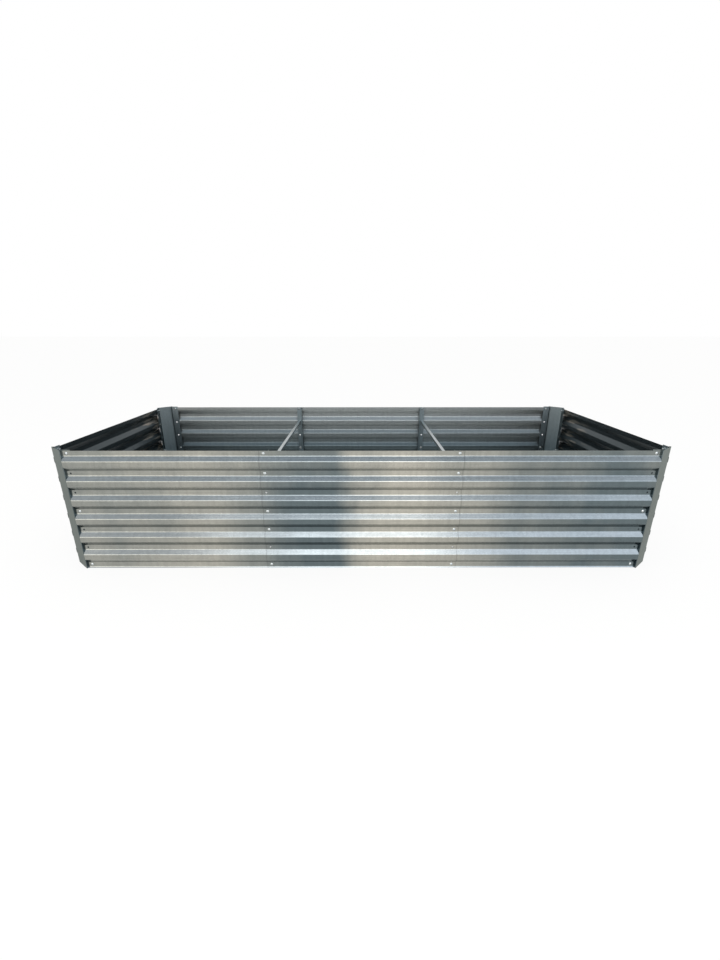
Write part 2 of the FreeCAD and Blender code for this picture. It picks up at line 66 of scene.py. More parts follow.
bpy.ops.object.select_all(action="DESELECT")
bpy.ops.object.camera_add(location=CAMERA_PLACE,
                          rotation=(math.pi / 2 - LOOK_DOWN, 0.0, -TURN_RIGHT))
camera = bpy.context.object
camera.name = "viewpoint"
camera.data.sensor_width = 36.0
camera.data.lens = FOCAL_PIXELS * camera.data.sensor_width / FRAME_HEIGHT
camera.data.shift_y = SHIFT_PIXELS / FRAME_HEIGHT
bpy.context.scene.camera = camera
bpy.context.scene.view_settings.view_transform = "Standard"
print("lens", round(camera.data.lens, 2), "mm")

# %% [markdown]
# ## Nodes and colours
#
# A few helpers serve every finish. Colours are written as they look on a screen, in sRGB
# hex, and a shader needs them linear. Nodes are added by one function, and the kinds that
# come up again and again have a short name each, so that a finish reads as a list of steps.
#
# A pattern's scale is given as features per metre, because the bed's own coordinates are in
# metres: a pattern that repeats every 8 mm has 125 features per metre.

# %% Helpers for materials
def linear(code):
    """A hex colour as linear red, green, blue and alpha."""
    parts = [int(code[i:i + 2], 16) / 255 for i in (1, 3, 5)]
    return [c / 12.92 if c <= 0.04045 else ((c + 0.055) / 1.055) ** 2.4 for c in parts] + [1]


def add_node(tree, kind, inputs=None, **settings):
    """Add a node, set its properties, and fill or link its inputs."""
    node = tree.nodes.new(kind)
    for name, setting in settings.items():
        setattr(node, name, setting)
    for socket, given in (inputs or {}).items():
        if isinstance(given, bpy.types.NodeSocket):
            tree.links.new(given, node.inputs[socket])
        else:
            node.inputs[socket].default_value = given
    return node


def new_material(name):
    """A material with an empty tree but for its shader and output."""
    material = bpy.data.materials.new(name)
    material.use_nodes = True
    tree = material.node_tree
    return material, tree, tree.nodes["Principled BSDF"]


def ranged(tree, value, low, high, to_low=0.0, to_high=1.0):
    """A value carried from one range to another, and held at the ends."""
    return add_node(tree, "ShaderNodeMapRange", {
        "Value": value, "From Min": low, "From Max": high,
        "To Min": to_low, "To Max": to_high}).outputs[0]


def maths(tree, operation, *values, clamp=False):
    """The result of one Math node."""
    return add_node(tree, "ShaderNodeMath", dict(enumerate(values)),
                    operation=operation, use_clamp=clamp).outputs[0]


def mix_values(tree, share, first, second):
    """One number at share 0 and another at share 1."""
    return add_node(tree, "ShaderNodeMix", {0: share, 2: first, 3: second}).outputs[0]


def mix_colours(tree, share, first, second):
    """One colour at share 0 and another at share 1."""
    return add_node(tree, "ShaderNodeMix", {0: share, 6: first, 7: second},
                    data_type="RGBA").outputs[2]


def scaled(tree, colour, factor):
    """A colour made lighter or darker by a factor."""
    return add_node(tree, "ShaderNodeVectorMath", {0: colour, "Scale": factor},
                    operation="SCALE").outputs[0]


def noise(tree, point, per_metre, detail, roughness=0.5):
    """Soft noise with so many features per metre along X, Y and Z."""
    place = add_node(tree, "ShaderNodeMapping", {"Vector": point, "Scale": per_metre})
    return add_node(tree, "ShaderNodeTexNoise", {
        "Vector": place.outputs[0], "Scale": 1.0, "Detail": detail,
        "Roughness": roughness}).outputs["Fac"]


print("middle grey", [round(c, 3) for c in linear("#808080")[:3]])

# %% [markdown]
# ## Hot-dip galvanised steel
#
# The sheets are steel strip that ran through a bath of molten zinc and then through
# rollers. Zinc freezes into flat crystals a few millimetres across, the spangle. Each one
# reflects a little differently, and the rolls leave faint lines along the strip. Weather
# dulls it in broad, soft patches, some light and warm, some darker and bluer, and on the
# long walls the patches are a painted reflection of the surroundings instead.
#
# So the finish is a metal whose colour and roughness follow patterns of very different
# size: patches as wide as an arm is long, clouds a few hands wide, streaks where water ran
# down, spangle, and roll lines. Slopes that look up are tinted towards an even, cool colour,
# a painted reflection of the sky. Which side of a sheet a point is on comes from its normal:
# outer faces look away from the bed's middle. The side that faces into the bed has painted
# shade, darker low down and lighter towards the rim, and the short walls have painted
# highlights along their ribs there, near the back corners.

# %% Places and sizes of the weathering and the painted light
# Broad patches along a wall: place in metres, and 0 for dark and blue to 1 for light and
# warm. On the long walls they are a painted reflection, bands of light and dark mirrored from
# the surroundings. The photographed front is lightest right of its middle.
LONG_WALL_REFLECTION_BANDS = [(-1.22, 0.44), (-0.85, 0.70), (-0.62, 0.84), (-0.44, 0.40), (-0.32, 0.10),
                     (-0.13, 0.02), (0.00, 0.80), (0.14, 1.00), (0.45, 0.66), (0.66, 0.16),
                     (0.90, 0.00), (1.22, 0.02)]
EVEN_PATCHES = [(-1.22, 0.35), (0.0, 0.60), (1.22, 0.35)]
POST_PATCHES = [(-1.22, 0.05), (1.22, 0.20)]
PATCH_REACH = 1.22
PATCH_DRIFT = 0.15
# Towards the top of a wall the patches fade to this level, between these heights.
TOP_PATCH_LEVEL = 0.6
PATCH_FADE_FROM, PATCH_FADE_TO = 0.30, 0.50
# Painted shade inside: darkest below the first height, lightest above the second.
INSIDE_SHADED_BELOW, INSIDE_LIT_ABOVE = 0.25, 0.49
# Painted highlights of lit ribs on the short walls' inner side: where they start and reach full
# strength towards the back, in metres along Y, and their colour.
RIB_HIGHLIGHT_FROM, RIB_HIGHLIGHT_TO = 0.15, 0.45
RIB_HIGHLIGHT_COLOUR = "#B3A697"

# Features per metre: crystals of 8 mm, roll lines 3 mm apart, water streaks 15 mm wide,
# clouds of 0.3 m, and painted highlights that run along the ribs.
SPANGLE_PER_METRE = 125.0
ROLL_LINES_PER_METRE = {"X": (6.0, 330.0, 330.0), "Y": (330.0, 6.0, 330.0)}
STREAKS_PER_METRE = (65.0, 65.0, 2.5)
CLOUDS_PER_METRE = (3.4, 3.4, 2.2)
RIB_HIGHLIGHTS_PER_METRE = (1.0, 6.0, 55.0)
print(len(LONG_WALL_REFLECTION_BANDS), "patches along a long wall")


# %% The galvanised finish
def broad_patches(tree, along, patches):
    """The level of the broad patches at a place along the wall."""
    ramp = add_node(tree, "ShaderNodeValToRGB", {
        "Fac": ranged(tree, along, -PATCH_REACH, PATCH_REACH)})
    ramp.color_ramp.interpolation = "EASE"
    stops = ramp.color_ramp.elements
    while len(stops) < len(patches):
        stops.new(0.5)
    for stop, (metres, level) in zip(stops, patches):
        stop.position = (metres + PATCH_REACH) / (2 * PATCH_REACH)
        stop.color = (level, level, level, 1.0)
    return ramp.outputs["Color"]


def galvanised(name, warm, cool, slope, inner, inner_low, roughness, inner_roughness,
               roll_axis, patches=EVEN_PATCHES, rib_highlights=0.0):
    """Galvanised sheet steel with spangle, roll lines, water streaks and patches, and painted
    light: sky reflection on up-slopes, shade low inside and highlights along ribs.
    """
    material, tree, shader = new_material(name)
    place = add_node(tree, "ShaderNodeTexCoord")
    point = place.outputs["Object"]
    normal = place.outputs["Normal"]
    at = add_node(tree, "ShaderNodeSeparateXYZ", {"Vector": point}).outputs

    # The patterns. The clouds also shift the broad patches' edges to and fro.
    clouds = noise(tree, point, CLOUDS_PER_METRE, 3.0)
    streaks = noise(tree, point, STREAKS_PER_METRE, 3.0, 0.6)
    lines = noise(tree, point, ROLL_LINES_PER_METRE[roll_axis], 1.0)
    drift = maths(tree, "MULTIPLY_ADD", clouds, 2 * PATCH_DRIFT, -PATCH_DRIFT)
    broad = broad_patches(tree, maths(tree, "ADD", at["X"], drift), patches)
    spangle = add_node(tree, "ShaderNodeTexVoronoi", {
        "Vector": point, "Scale": SPANGLE_PER_METRE, "Randomness": 1.0})
    crystal = add_node(tree, "ShaderNodeSeparateColor", {
        "Color": spangle.outputs["Color"]}).outputs

    # The outside, from dark and cool to light and warm, which on the long walls is a painted
    # reflection. The patches fade upwards to an even level.
    patch_fade_up = ranged(tree, at["Z"], PATCH_FADE_FROM, PATCH_FADE_TO, 0.0, 0.40)
    faded = mix_values(tree, patch_fade_up, broad, TOP_PATCH_LEVEL)
    cloud_level = ranged(tree, clouds, 0.3, 0.7, -0.22, 0.22)
    patch_level = maths(tree, "ADD", faded, cloud_level, clamp=True)
    tone = mix_colours(tree, patch_level, linear(cool), linear(warm))

    # Slopes that look up are mixed towards the even, cool slope colour: a painted reflection
    # of the sky.
    tilt = add_node(tree, "ShaderNodeSeparateXYZ", {"Vector": normal})
    upward = ranged(tree, tilt.outputs["Z"], 0.1, 0.55)
    sky_tinted = mix_colours(tree, maths(tree, "MULTIPLY", upward, 0.65), tone, linear(slope))

    # The inside has painted shade: darker low down, and lighter towards the rim. Painted
    # highlights, pale brown, lie along the ribs near the back corners.
    to_rim = ranged(tree, at["Z"], INSIDE_SHADED_BELOW, INSIDE_LIT_ABOVE)
    inside_shaded = mix_colours(tree, to_rim, linear(inner_low), linear(inner))
    to_back = ranged(tree, at["Y"], RIB_HIGHLIGHT_FROM, RIB_HIGHLIGHT_TO, 0.0, rib_highlights)
    highlight_noise = noise(tree, point, RIB_HIGHLIGHTS_PER_METRE, 2.0)
    highlight_share = maths(tree, "MULTIPLY", to_back, ranged(tree, highlight_noise, 0.50, 0.62))
    inside = mix_colours(tree, highlight_share, inside_shaded, linear(RIB_HIGHLIGHT_COLOUR))

    # Inside or outside, from the normal and the way to the bed's middle.
    from_middle = add_node(tree, "ShaderNodeVectorMath", {
        0: point, 1: (1.0, 1.0, 0.0)}, operation="MULTIPLY")
    facing = add_node(tree, "ShaderNodeVectorMath", {
        0: normal, 1: from_middle.outputs[0]}, operation="DOT_PRODUCT")
    outward = ranged(tree, facing.outputs["Value"], -0.06, 0.06)
    side = mix_colours(tree, outward, inside, sky_tinted)

    # The finer patterns make it a few percent lighter and darker.
    crystal_light = ranged(tree, crystal[0], 0.0, 1.0, 0.965, 1.03)
    line_light = ranged(tree, lines, 0.3, 0.7, 0.95, 1.05)
    streak_light = ranged(tree, streaks, 0.35, 0.65, 0.95, 1.04)
    fine = maths(tree, "MULTIPLY", crystal_light, line_light)
    light = maths(tree, "MULTIPLY", fine, streak_light)
    tree.links.new(scaled(tree, side, light), shader.inputs["Base Color"])

    # Roughness rises in the dull patches and differs a little from crystal to crystal.
    patch_rough = ranged(tree, clouds, 0.3, 0.7, roughness - 0.03, roughness + 0.04)
    rough = maths(tree, "MULTIPLY_ADD", crystal[1], 0.03, patch_rough)
    side_rough = mix_values(tree, outward, inner_roughness, rough)
    tree.links.new(side_rough, shader.inputs["Roughness"])

    # The roll lines and crystal edges stand out by a few micrometres.
    height = maths(tree, "MULTIPLY_ADD", crystal[2], 0.15, lines)
    bump = add_node(tree, "ShaderNodeBump", {
        "Height": height, "Strength": 0.1, "Distance": 0.00001})
    tree.links.new(bump.outputs[0], shader.inputs["Normal"])
    shader.inputs["Metallic"].default_value = 1.0
    return material


# The long walls' sheets: warm and cool patches of painted reflection, up-slopes tinted as
# a painted sky reflection, painted shade low inside, and a crisp bright line in every bend.
long_sheet_steel = galvanised("galvanised_long_sheet", "#B4B1A6", "#646F72", "#9FA5A8",
                              "#AAAFAF", "#576367", 0.18, 0.38, "X", LONG_WALL_REFLECTION_BANDS)
# The short walls' sheets: even outside, and painted nearly black inside, a painted
# reflection of dark ground and the far wall, with painted highlights along the inner ribs.
end_sheet_steel = galvanised("galvanised_end_sheet", "#A9A8A0", "#7C878A", "#98A4A9",
                             "#3E4649", "#343C40", 0.18, 0.32, "Y", rib_highlights=0.8)
# The posts and stiffeners: thicker plate with a duller, greener coat and soft highlights,
# and painted shade low on their inner side.
folded_steel = galvanised("galvanised_folded_plate", "#8E9593", "#5C625F", "#767C79",
                          "#848F93", "#5A676D", 0.30, 0.42, "Y", POST_PATCHES)
# A post's slanted face is seen at a low angle, where weathered zinc mirrors less than clean
# metal. The shader's edge tint does that.
post_shader = folded_steel.node_tree.nodes["Principled BSDF"]
post_shader.inputs["Specular Tint"].default_value = linear("#D6DAD7")
# The tie bars: light, clean tube that stands out against the dark inside.
bar_steel = galvanised("galvanised_square_tube", "#B2B3AD", "#A3AAAC", "#A3AAAC", "#A3AAAC",
                       "#A3AAAC", 0.28, 0.28, "Y")
print("galvanised finishes:", long_sheet_steel.name, end_sheet_steel.name,
      folded_steel.name, bar_steel.name)

# %% [markdown]
# ## Rolling a sheet
#
# A real sheet is flat strip pushed through rollers that bend it lengthwise. The model is
# made the same way. It starts as a narrow grid at the top edge. Its lower edge is pulled
# down for each straight part, and spun round a bend's centre for each bend, until the
# whole section is there. Then everything is extruded by the sheet's thickness, straight
# out, so that one sheet nests on the next where they lap.
#
# The bends are what the eye reads, as bright lines, so each is spun in several steps and
# then shaded smooth.

# %% Sizes of the rolled section, in metres
SHEET = 0.0006
RIBS = 6
RIB_PITCH = 0.0783
RIB_DEPTH = 0.014
VALLEY_FLAT = 0.020
CREST_FLAT = 0.020
BEND_RADIUS = 0.008
TOP_LAND = 0.010
BOTTOM_LAND = 0.010
TOE_HEIGHT = 0.005
BEND_STEPS = 5
COLUMN_WIDTH = 0.028
WELD_DISTANCE = 0.00002
SHEET_SMOOTH = math.radians(25)

slope_rise = (RIB_PITCH - VALLEY_FLAT - CREST_FLAT) / 2
slope_angle = math.atan2(RIB_DEPTH, slope_rise)
slope_length = math.hypot(RIB_DEPTH, slope_rise)
bend_trim = BEND_RADIUS * math.tan(slope_angle / 2)
sheet_top = TOE_HEIGHT + BOTTOM_LAND + RIBS * RIB_PITCH + TOP_LAND
print("slope", round(math.degrees(slope_angle), 1), "degrees; sheet", sheet_top, "m high")

# %% Pull and spin the lower edge through the section
def straight_run(state, length):
    """Pull the selected edge on in the way it is heading."""
    step = (0.0, length * math.sin(state["heading"]), -length * math.cos(state["heading"]))
    bpy.ops.mesh.extrude_region_move(TRANSFORM_OT_translate={"value": step})
    state["at"] += Vector(step)


def bend(state, side):
    """Spin the selected edge by one bend, outwards for side 1 and inwards for side -1."""
    heading = state["heading"]
    towards = Vector((0.0, math.cos(heading), math.sin(heading)))
    centre = state["at"] + side * BEND_RADIUS * towards
    bpy.ops.mesh.spin(steps=BEND_STEPS, angle=-side * slope_angle, center=centre,
                      axis=(1.0, 0.0, 0.0))
    state["heading"] = heading + side * slope_angle
    towards = Vector((0.0, math.cos(state["heading"]), math.sin(state["heading"])))
    state["at"] = centre - side * BEND_RADIUS * towards


def roll_section(state):
    """Take the lower edge from below the top bolt row to the foot of the sheet."""
    for rib in range(RIBS):
        bend(state, 1)
        straight_run(state, slope_length - 2 * bend_trim)
        bend(state, -1)
        straight_run(state, CREST_FLAT - 2 * bend_trim)
        bend(state, -1)
        straight_run(state, slope_length - 2 * bend_trim)
        bend(state, 1)
        if rib < RIBS - 1:
            straight_run(state, VALLEY_FLAT - 2 * bend_trim)
    straight_run(state, VALLEY_FLAT / 2 + BOTTOM_LAND - 2 * bend_trim)
    bend(state, 1)
    straight_run(state, TOE_HEIGHT / math.cos(slope_angle) - bend_trim)


# %% Roll one sheet in its wall's own frame
def rolled_sheet(name, length, columns):
    """A rolled sheet, X along it and Y outwards, with its inner valleys on Y = 0."""
    first = TOP_LAND + VALLEY_FLAT / 2 - bend_trim
    bpy.ops.object.select_all(action="DESELECT")
    bpy.ops.mesh.primitive_grid_add(x_subdivisions=columns, y_subdivisions=1, size=1.0,
                                    location=(0.0, 0.0, sheet_top - first / 2),
                                    rotation=(math.pi / 2, 0.0, 0.0))
    sheet = bpy.context.object
    sheet.name = name
    sheet.scale = (length, first, 1.0)
    bpy.ops.object.transform_apply(location=True, rotation=True, scale=True)

    lower = min(v.co.z for v in sheet.data.vertices) + first / 2
    for part in (sheet.data.polygons, sheet.data.edges, sheet.data.vertices):
        part.foreach_set("select", [False] * len(part))
    for vertex in sheet.data.vertices:
        vertex.select = vertex.co.z < lower
    bpy.ops.object.mode_set(mode="EDIT")
    bpy.ops.mesh.select_mode(type="VERT")
    bpy.ops.mesh.select_mode(type="EDGE")
    state = {"at": Vector((0.0, 0.0, sheet_top - first)), "heading": 0.0}
    roll_section(state)
    foot = state["at"].z
    bpy.ops.mesh.select_all(action="SELECT")
    bpy.ops.mesh.remove_doubles(threshold=WELD_DISTANCE)
    bpy.ops.mesh.extrude_region_move(TRANSFORM_OT_translate={"value": (0.0, SHEET, 0.0)})
    bpy.ops.mesh.select_all(action="SELECT")
    bpy.ops.mesh.normals_make_consistent(inside=False)
    bpy.ops.object.mode_set(mode="OBJECT")
    print(name, "rolled down to z =", round(foot, 6), "with",
          len(sheet.data.polygons), "faces")
    return sheet


# %% [markdown]
# ## Oil-canning
#
# Thin rolled sheet is never quite flat. Between its fixings it wanders in and out by about
# half a millimetre, which sheet-metal workers call oil-canning, and it is what makes the
# bright lines swell and fade along a real wall. A Displace modifier with a soft cloud
# texture does this. A vertex group holds the ends still, where the bolts clamp them, so
# the lapped sheets stay clear of each other.

# %% Let the middle of a sheet wander
ripple = bpy.data.textures.new("sheet_ripple", "CLOUDS")
ripple.noise_scale = 0.22
ripple.noise_depth = 1
RIPPLE_HEIGHT = 0.0012
CLAMPED = 0.045
FREE = 0.18


def oil_can(sheet, length):
    """Ripple a sheet by a fraction of a millimetre, with its bolted ends held."""
    group = sheet.vertex_groups.new(name="free_span")
    for vertex in sheet.data.vertices:
        to_end = length / 2 - abs(vertex.co.x)
        share = min(max((to_end - CLAMPED) / (FREE - CLAMPED), 0.0), 1.0)
        group.add([vertex.index], share * share * (3 - 2 * share), "REPLACE")
    wave = sheet.modifiers.new("oil_canning", "DISPLACE")
    wave.texture = ripple
    wave.texture_coords = "GLOBAL"
    wave.direction = "Y"
    wave.mid_level = 0.5
    wave.strength = RIPPLE_HEIGHT
    wave.vertex_group = group.name
    bpy.ops.object.modifier_apply(modifier=wave.name)


# %% Punch the bolt holes
HOLE_EDGE = 0.017
HOLE_RADIUS = 0.0035
HOLE_SIDES = 24
PUNCH_DEPTH = 6 * SHEET
FIRST_ROW = TOE_HEIGHT + BOTTOM_LAND


def repeat(piece, count, step):
    """Repeat a piece in a row with an Array modifier."""
    row = piece.modifiers.new("row", "ARRAY")
    row.count = count
    row.use_relative_offset = False
    row.use_constant_offset = True
    row.constant_offset_displace = step
    bpy.context.view_layer.objects.active = piece
    bpy.ops.object.modifier_apply(modifier=row.name)


def punch(sheet, length):
    """Punch a hole in every valley at both ends of a sheet."""
    last = length / 2 - HOLE_EDGE
    bpy.ops.object.select_all(action="DESELECT")
    bpy.ops.mesh.primitive_cylinder_add(
        vertices=HOLE_SIDES, radius=HOLE_RADIUS, depth=PUNCH_DEPTH,
        location=(-last, SHEET / 2, FIRST_ROW), rotation=(math.pi / 2, 0.0, 0.0))
    punches = bpy.context.object
    bpy.ops.object.transform_apply(location=True, rotation=True, scale=True)
    repeat(punches, RIBS + 1, (0.0, 0.0, RIB_PITCH))
    repeat(punches, 2, (2 * last, 0.0, 0.0))

    bpy.ops.object.select_all(action="DESELECT")
    sheet.select_set(True)
    bpy.context.view_layer.objects.active = sheet
    cut = sheet.modifiers.new("bolt_holes", "BOOLEAN")
    cut.operation = "DIFFERENCE"
    cut.solver = "EXACT"
    cut.object = punches
    before = len(sheet.data.polygons)
    bpy.ops.object.modifier_apply(modifier=cut.name)
    bpy.data.objects.remove(punches)
    print(sheet.name, "punched:", len(sheet.data.polygons) - before, "faces more")


# %% Stand a piece at its wall
WALL_TURN = {"front": math.pi, "back": 0.0, "left": math.pi / 2, "right": -math.pi / 2}
BED_LENGTH = 2.440
BED_WIDTH = 1.220
LAP_GAP = 0.0002
WALL_INSET = RIB_DEPTH + 2 * SHEET + LAP_GAP
LONG_WALL = BED_WIDTH / 2 - WALL_INSET
SHORT_WALL = BED_LENGTH / 2 - WALL_INSET


def stand(piece, wall, along, out):
    """Turn a piece to its wall and set it along and out from the wall's plane."""
    distance = (LONG_WALL if wall in ("front", "back") else SHORT_WALL) + out
    piece.rotation_euler = (0.0, 0.0, WALL_TURN[wall])
    if wall in ("front", "back"):
        piece.location = (along, distance if wall == "back" else -distance, 0.0)
    else:
        piece.location = (distance if wall == "right" else -distance, along, 0.0)


def settle(piece):
    """Leave the place in the mesh and the object at the origin."""
    bpy.ops.object.select_all(action="DESELECT")
    piece.select_set(True)
    bpy.context.view_layer.objects.active = piece
    bpy.ops.object.transform_apply(location=True, rotation=True, scale=True)


def dress(piece, node, material):
    """Give a new piece its finish, and let it stand for its node."""
    piece.data.materials.clear()
    piece.data.materials.append(material)
    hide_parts(node)
    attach(piece, "root")


# %% Lengths of the sheets
POST_LEG = 0.057
POST_GAP = 0.0005
LAP = 2 * HOLE_EDGE
LAP_LIFT = SHEET + LAP_GAP
LONG_SHEET = (2 * (SHORT_WALL - POST_LEG - POST_GAP) + 2 * LAP) / 3
SHORT_SHEET = 2 * (LONG_WALL - POST_LEG - POST_GAP)

print("sheets", round(LONG_SHEET, 4), "and", round(SHORT_SHEET, 4), "m long")

# %% [markdown]
# ## Painted shadow along the laps
#
# Where one sheet ends on the next, its edge casts a thin shadow, painted into the colour as a
# dark line. From the front it is what shows that a long wall is three sheets.

# %% Darken the long sheets along the laps with a painted shadow
LAP_SHADOW_CORE = 0.0005
LAP_SHADOW_EDGE = 0.0035


def lap_shadow(material, lap_edge):
    """A painted shadow along the line where the middle sheet of a long wall ends."""
    tree = material.node_tree
    base = tree.nodes["Principled BSDF"].inputs["Base Color"]
    point = add_node(tree, "ShaderNodeTexCoord").outputs["Object"]
    at = add_node(tree, "ShaderNodeSeparateXYZ", {"Vector": point}).outputs
    past_edge = maths(tree, "SUBTRACT", maths(tree, "ABSOLUTE", at["X"]), lap_edge)
    distance = maths(tree, "ABSOLUTE", past_edge)
    # Painted shadow: a fifth darker at the edge, fading out a few millimetres away.
    lap_shade = ranged(tree, distance, LAP_SHADOW_CORE, LAP_SHADOW_EDGE, 0.8, 1.0)
    tree.links.new(scaled(tree, base.links[0].from_socket, lap_shade), base)


lap_shadow(long_sheet_steel, LONG_SHEET / 2)
# Where the painted shadow lines lie, each side of the middle.
print("dirt at", round(LONG_SHEET / 2, 4), "m each side of the middle")

# %% Roll the eight sheets and stand them
sheet_places = []
for wall in ("front", "back"):
    sheet_places.append((f"{wall}_sheet_left", wall, LAP - LONG_SHEET, 0.0, LONG_SHEET))
    sheet_places.append((f"{wall}_sheet_middle", wall, 0.0, LAP_LIFT, LONG_SHEET))
    sheet_places.append((f"{wall}_sheet_right", wall, LONG_SHEET - LAP, 0.0, LONG_SHEET))
sheet_places.append(("left_end_sheet", "left", 0.0, 0.0, SHORT_SHEET))
sheet_places.append(("right_end_sheet", "right", 0.0, 0.0, SHORT_SHEET))

for node, wall, along, out, length in sheet_places:
    sheet = rolled_sheet("rolled_" + node, length, columns=round(length / COLUMN_WIDTH))
    punch(sheet, length)
    stand(sheet, wall, along, out)
    bpy.context.view_layer.update()
    oil_can(sheet, length)
    settle(sheet)
    bpy.ops.object.shade_smooth_by_angle(angle=SHEET_SMOOTH)
    dress(sheet, node,
          long_sheet_steel if length == LONG_SHEET else end_sheet_steel)

# %% [markdown]
# ## Bolts
#
# Each bolt is a short M6 screw with a low domed head and a cross slot, plated bright. It
# starts as a disc under the head. Extruding and scaling the top face makes the rim and the
# dome, and a cross-shaped cutter takes out the slot. The underside is inset to the shank
# and pulled down, and the last stretch, which shows past the nut, is stepped in and out as
# a thread is. One bolt is made, Array modifiers set it in columns, and each column gets its
# own copy of the mesh.
#
# A post's column has three bolts: top, middle and bottom. A seam's has two more, the upper
# one in the tie bar's row. The other holes stay open, and show as dark dots.

# %% Sizes of a bolt, in metres
HEAD_RADIUS = 0.006
HEAD_HEIGHT = 0.0034
HEAD_RIM = 0.0009
SHANK_RADIUS = 0.003
BOLT_LENGTH = 0.012
BOLT_TIP = 0.0008
THREAD_PITCH = 0.001
THREAD_DEPTH = 0.0004
THREAD_TURNS = 5
ROUND_SIDES = 24
DOME_STEPS = 5
DOME_TIP = 0.05
BOLT_SMOOTH = math.radians(32)
SLOT_SPAN = 0.0056
SLOT_WIDTH = 0.0013
SLOT_DEPTH = 0.0017
COLUMN_BOLTS = 3
BAR_ROW = 2


# %% Select faces by where they look
def select_faces(piece, test):
    """Select only the faces that pass a test."""
    bpy.ops.object.mode_set(mode="OBJECT")
    for part in (piece.data.polygons, piece.data.edges, piece.data.vertices):
        part.foreach_set("select", [False] * len(part))
    for face in piece.data.polygons:
        face.select = test(face)
    bpy.ops.object.mode_set(mode="EDIT")
    bpy.ops.mesh.select_mode(type="FACE")


def pull_face(distance, ratio):
    """Extrude the selected flat face along Z and scale it to a ratio."""
    bpy.ops.mesh.extrude_region_move(TRANSFORM_OT_translate={"value": (0.0, 0.0, distance)})
    if ratio != 1.0:
        bpy.ops.transform.resize(value=(ratio, ratio, 1.0))


# %% Make one bolt, head up
bpy.ops.object.select_all(action="DESELECT")
bpy.ops.mesh.primitive_cylinder_add(vertices=ROUND_SIDES, radius=HEAD_RADIUS, depth=HEAD_RIM,
                                    location=(0.0, 0.0, HEAD_RIM / 2))
bolt = bpy.context.object
bolt.name = "domed_bolt"
bpy.ops.object.transform_apply(location=True, rotation=True, scale=True)

dome_rise = HEAD_HEIGHT - HEAD_RIM
dome_radius = (HEAD_RADIUS ** 2 + dome_rise ** 2) / (2 * dome_rise)
dome_angle = math.asin(HEAD_RADIUS / dome_radius)
select_faces(bolt, lambda face: face.normal.z > 0.9)
reach = HEAD_RADIUS
level = HEAD_RIM
for step in range(1, DOME_STEPS):
    angle = dome_angle * (1 - step / DOME_STEPS)
    new_reach = dome_radius * math.sin(angle)
    new_level = HEAD_HEIGHT - dome_radius * (1 - math.cos(angle))
    pull_face(new_level - level, new_reach / reach)
    reach, level = new_reach, new_level
pull_face(HEAD_HEIGHT - level, DOME_TIP)

select_faces(bolt, lambda face: face.normal.z < -0.9)
bpy.ops.mesh.inset(thickness=HEAD_RADIUS - SHANK_RADIUS)
plain = BOLT_LENGTH - BOLT_TIP - THREAD_TURNS * THREAD_PITCH
pull_face(-plain, 1.0)
root = (SHANK_RADIUS - THREAD_DEPTH) / SHANK_RADIUS
for turn in range(THREAD_TURNS):
    pull_face(-THREAD_PITCH / 2, root)
    pull_face(-THREAD_PITCH / 2, 1 / root)
pull_face(-BOLT_TIP, 1 - BOLT_TIP / SHANK_RADIUS)
bpy.ops.object.mode_set(mode="OBJECT")
print("bolt faces", len(bolt.data.polygons))

# %% Cut the cross slot
bpy.ops.object.select_all(action="DESELECT")
bpy.ops.mesh.primitive_cube_add(size=1.0, location=(0.0, 0.0, HEAD_HEIGHT))
cutter = bpy.context.object
cutter.scale = (SLOT_WIDTH, SLOT_WIDTH, 2 * SLOT_DEPTH)
bpy.ops.object.transform_apply(location=True, rotation=True, scale=True)
arm = (SLOT_SPAN - SLOT_WIDTH) / 2
for direction in (Vector((1, 0, 0)), Vector((-1, 0, 0)), Vector((0, 1, 0)), Vector((0, -1, 0))):
    select_faces(cutter, lambda face: face.normal.dot(direction) > 0.9
                 and max(abs(face.center.x), abs(face.center.y)) < SLOT_WIDTH)
    bpy.ops.mesh.extrude_region_move(
        TRANSFORM_OT_translate={"value": tuple(arm * direction)})
bpy.ops.object.mode_set(mode="OBJECT")

bpy.ops.object.select_all(action="DESELECT")
bolt.select_set(True)
bpy.context.view_layer.objects.active = bolt
cut = bolt.modifiers.new("cross_slot", "BOOLEAN")
cut.operation = "DIFFERENCE"
cut.solver = "EXACT"
cut.object = cutter
bpy.ops.object.modifier_apply(modifier=cut.name)
bpy.data.objects.remove(cutter)
print("with its slot", len(bolt.data.polygons))

# %% [markdown]
# ## Bright zinc plate
#
# Bolts and nuts are zinc-plated from a bath, not dipped. The coat is thin, even and
# brighter than the sheets', with a slight haze and fine tumbling marks.

# %% The plated finish
HAZE_PER_METRE = (700.0, 700.0, 700.0)


def plated(name, colour, roughness):
    """Zinc plate with fine haze."""
    material, tree, shader = new_material(name)
    point = add_node(tree, "ShaderNodeTexCoord").outputs["Object"]
    haze = noise(tree, point, HAZE_PER_METRE, 3.0, 0.6)
    shade = ranged(tree, haze, 0.3, 0.7, 0.85, 1.05)
    tint = scaled(tree, linear(colour)[:3], shade)
    tree.links.new(tint, shader.inputs["Base Color"])
    rough = ranged(tree, haze, 0.0, 1.0, roughness - 0.06, roughness + 0.06)
    tree.links.new(rough, shader.inputs["Roughness"])
    marks = add_node(tree, "ShaderNodeBump", {
        "Height": haze, "Strength": 0.2, "Distance": 0.00005})
    tree.links.new(marks.outputs[0], shader.inputs["Normal"])
    shader.inputs["Metallic"].default_value = 1.0
    return material


# Bolts, nuts and plugs: the brightest metal on the bed, small sparks of light on each dome.
bright_plate = plated("bright_zinc_plate", "#C0C4C4", 0.26)
print("plated finish:", bright_plate.name)

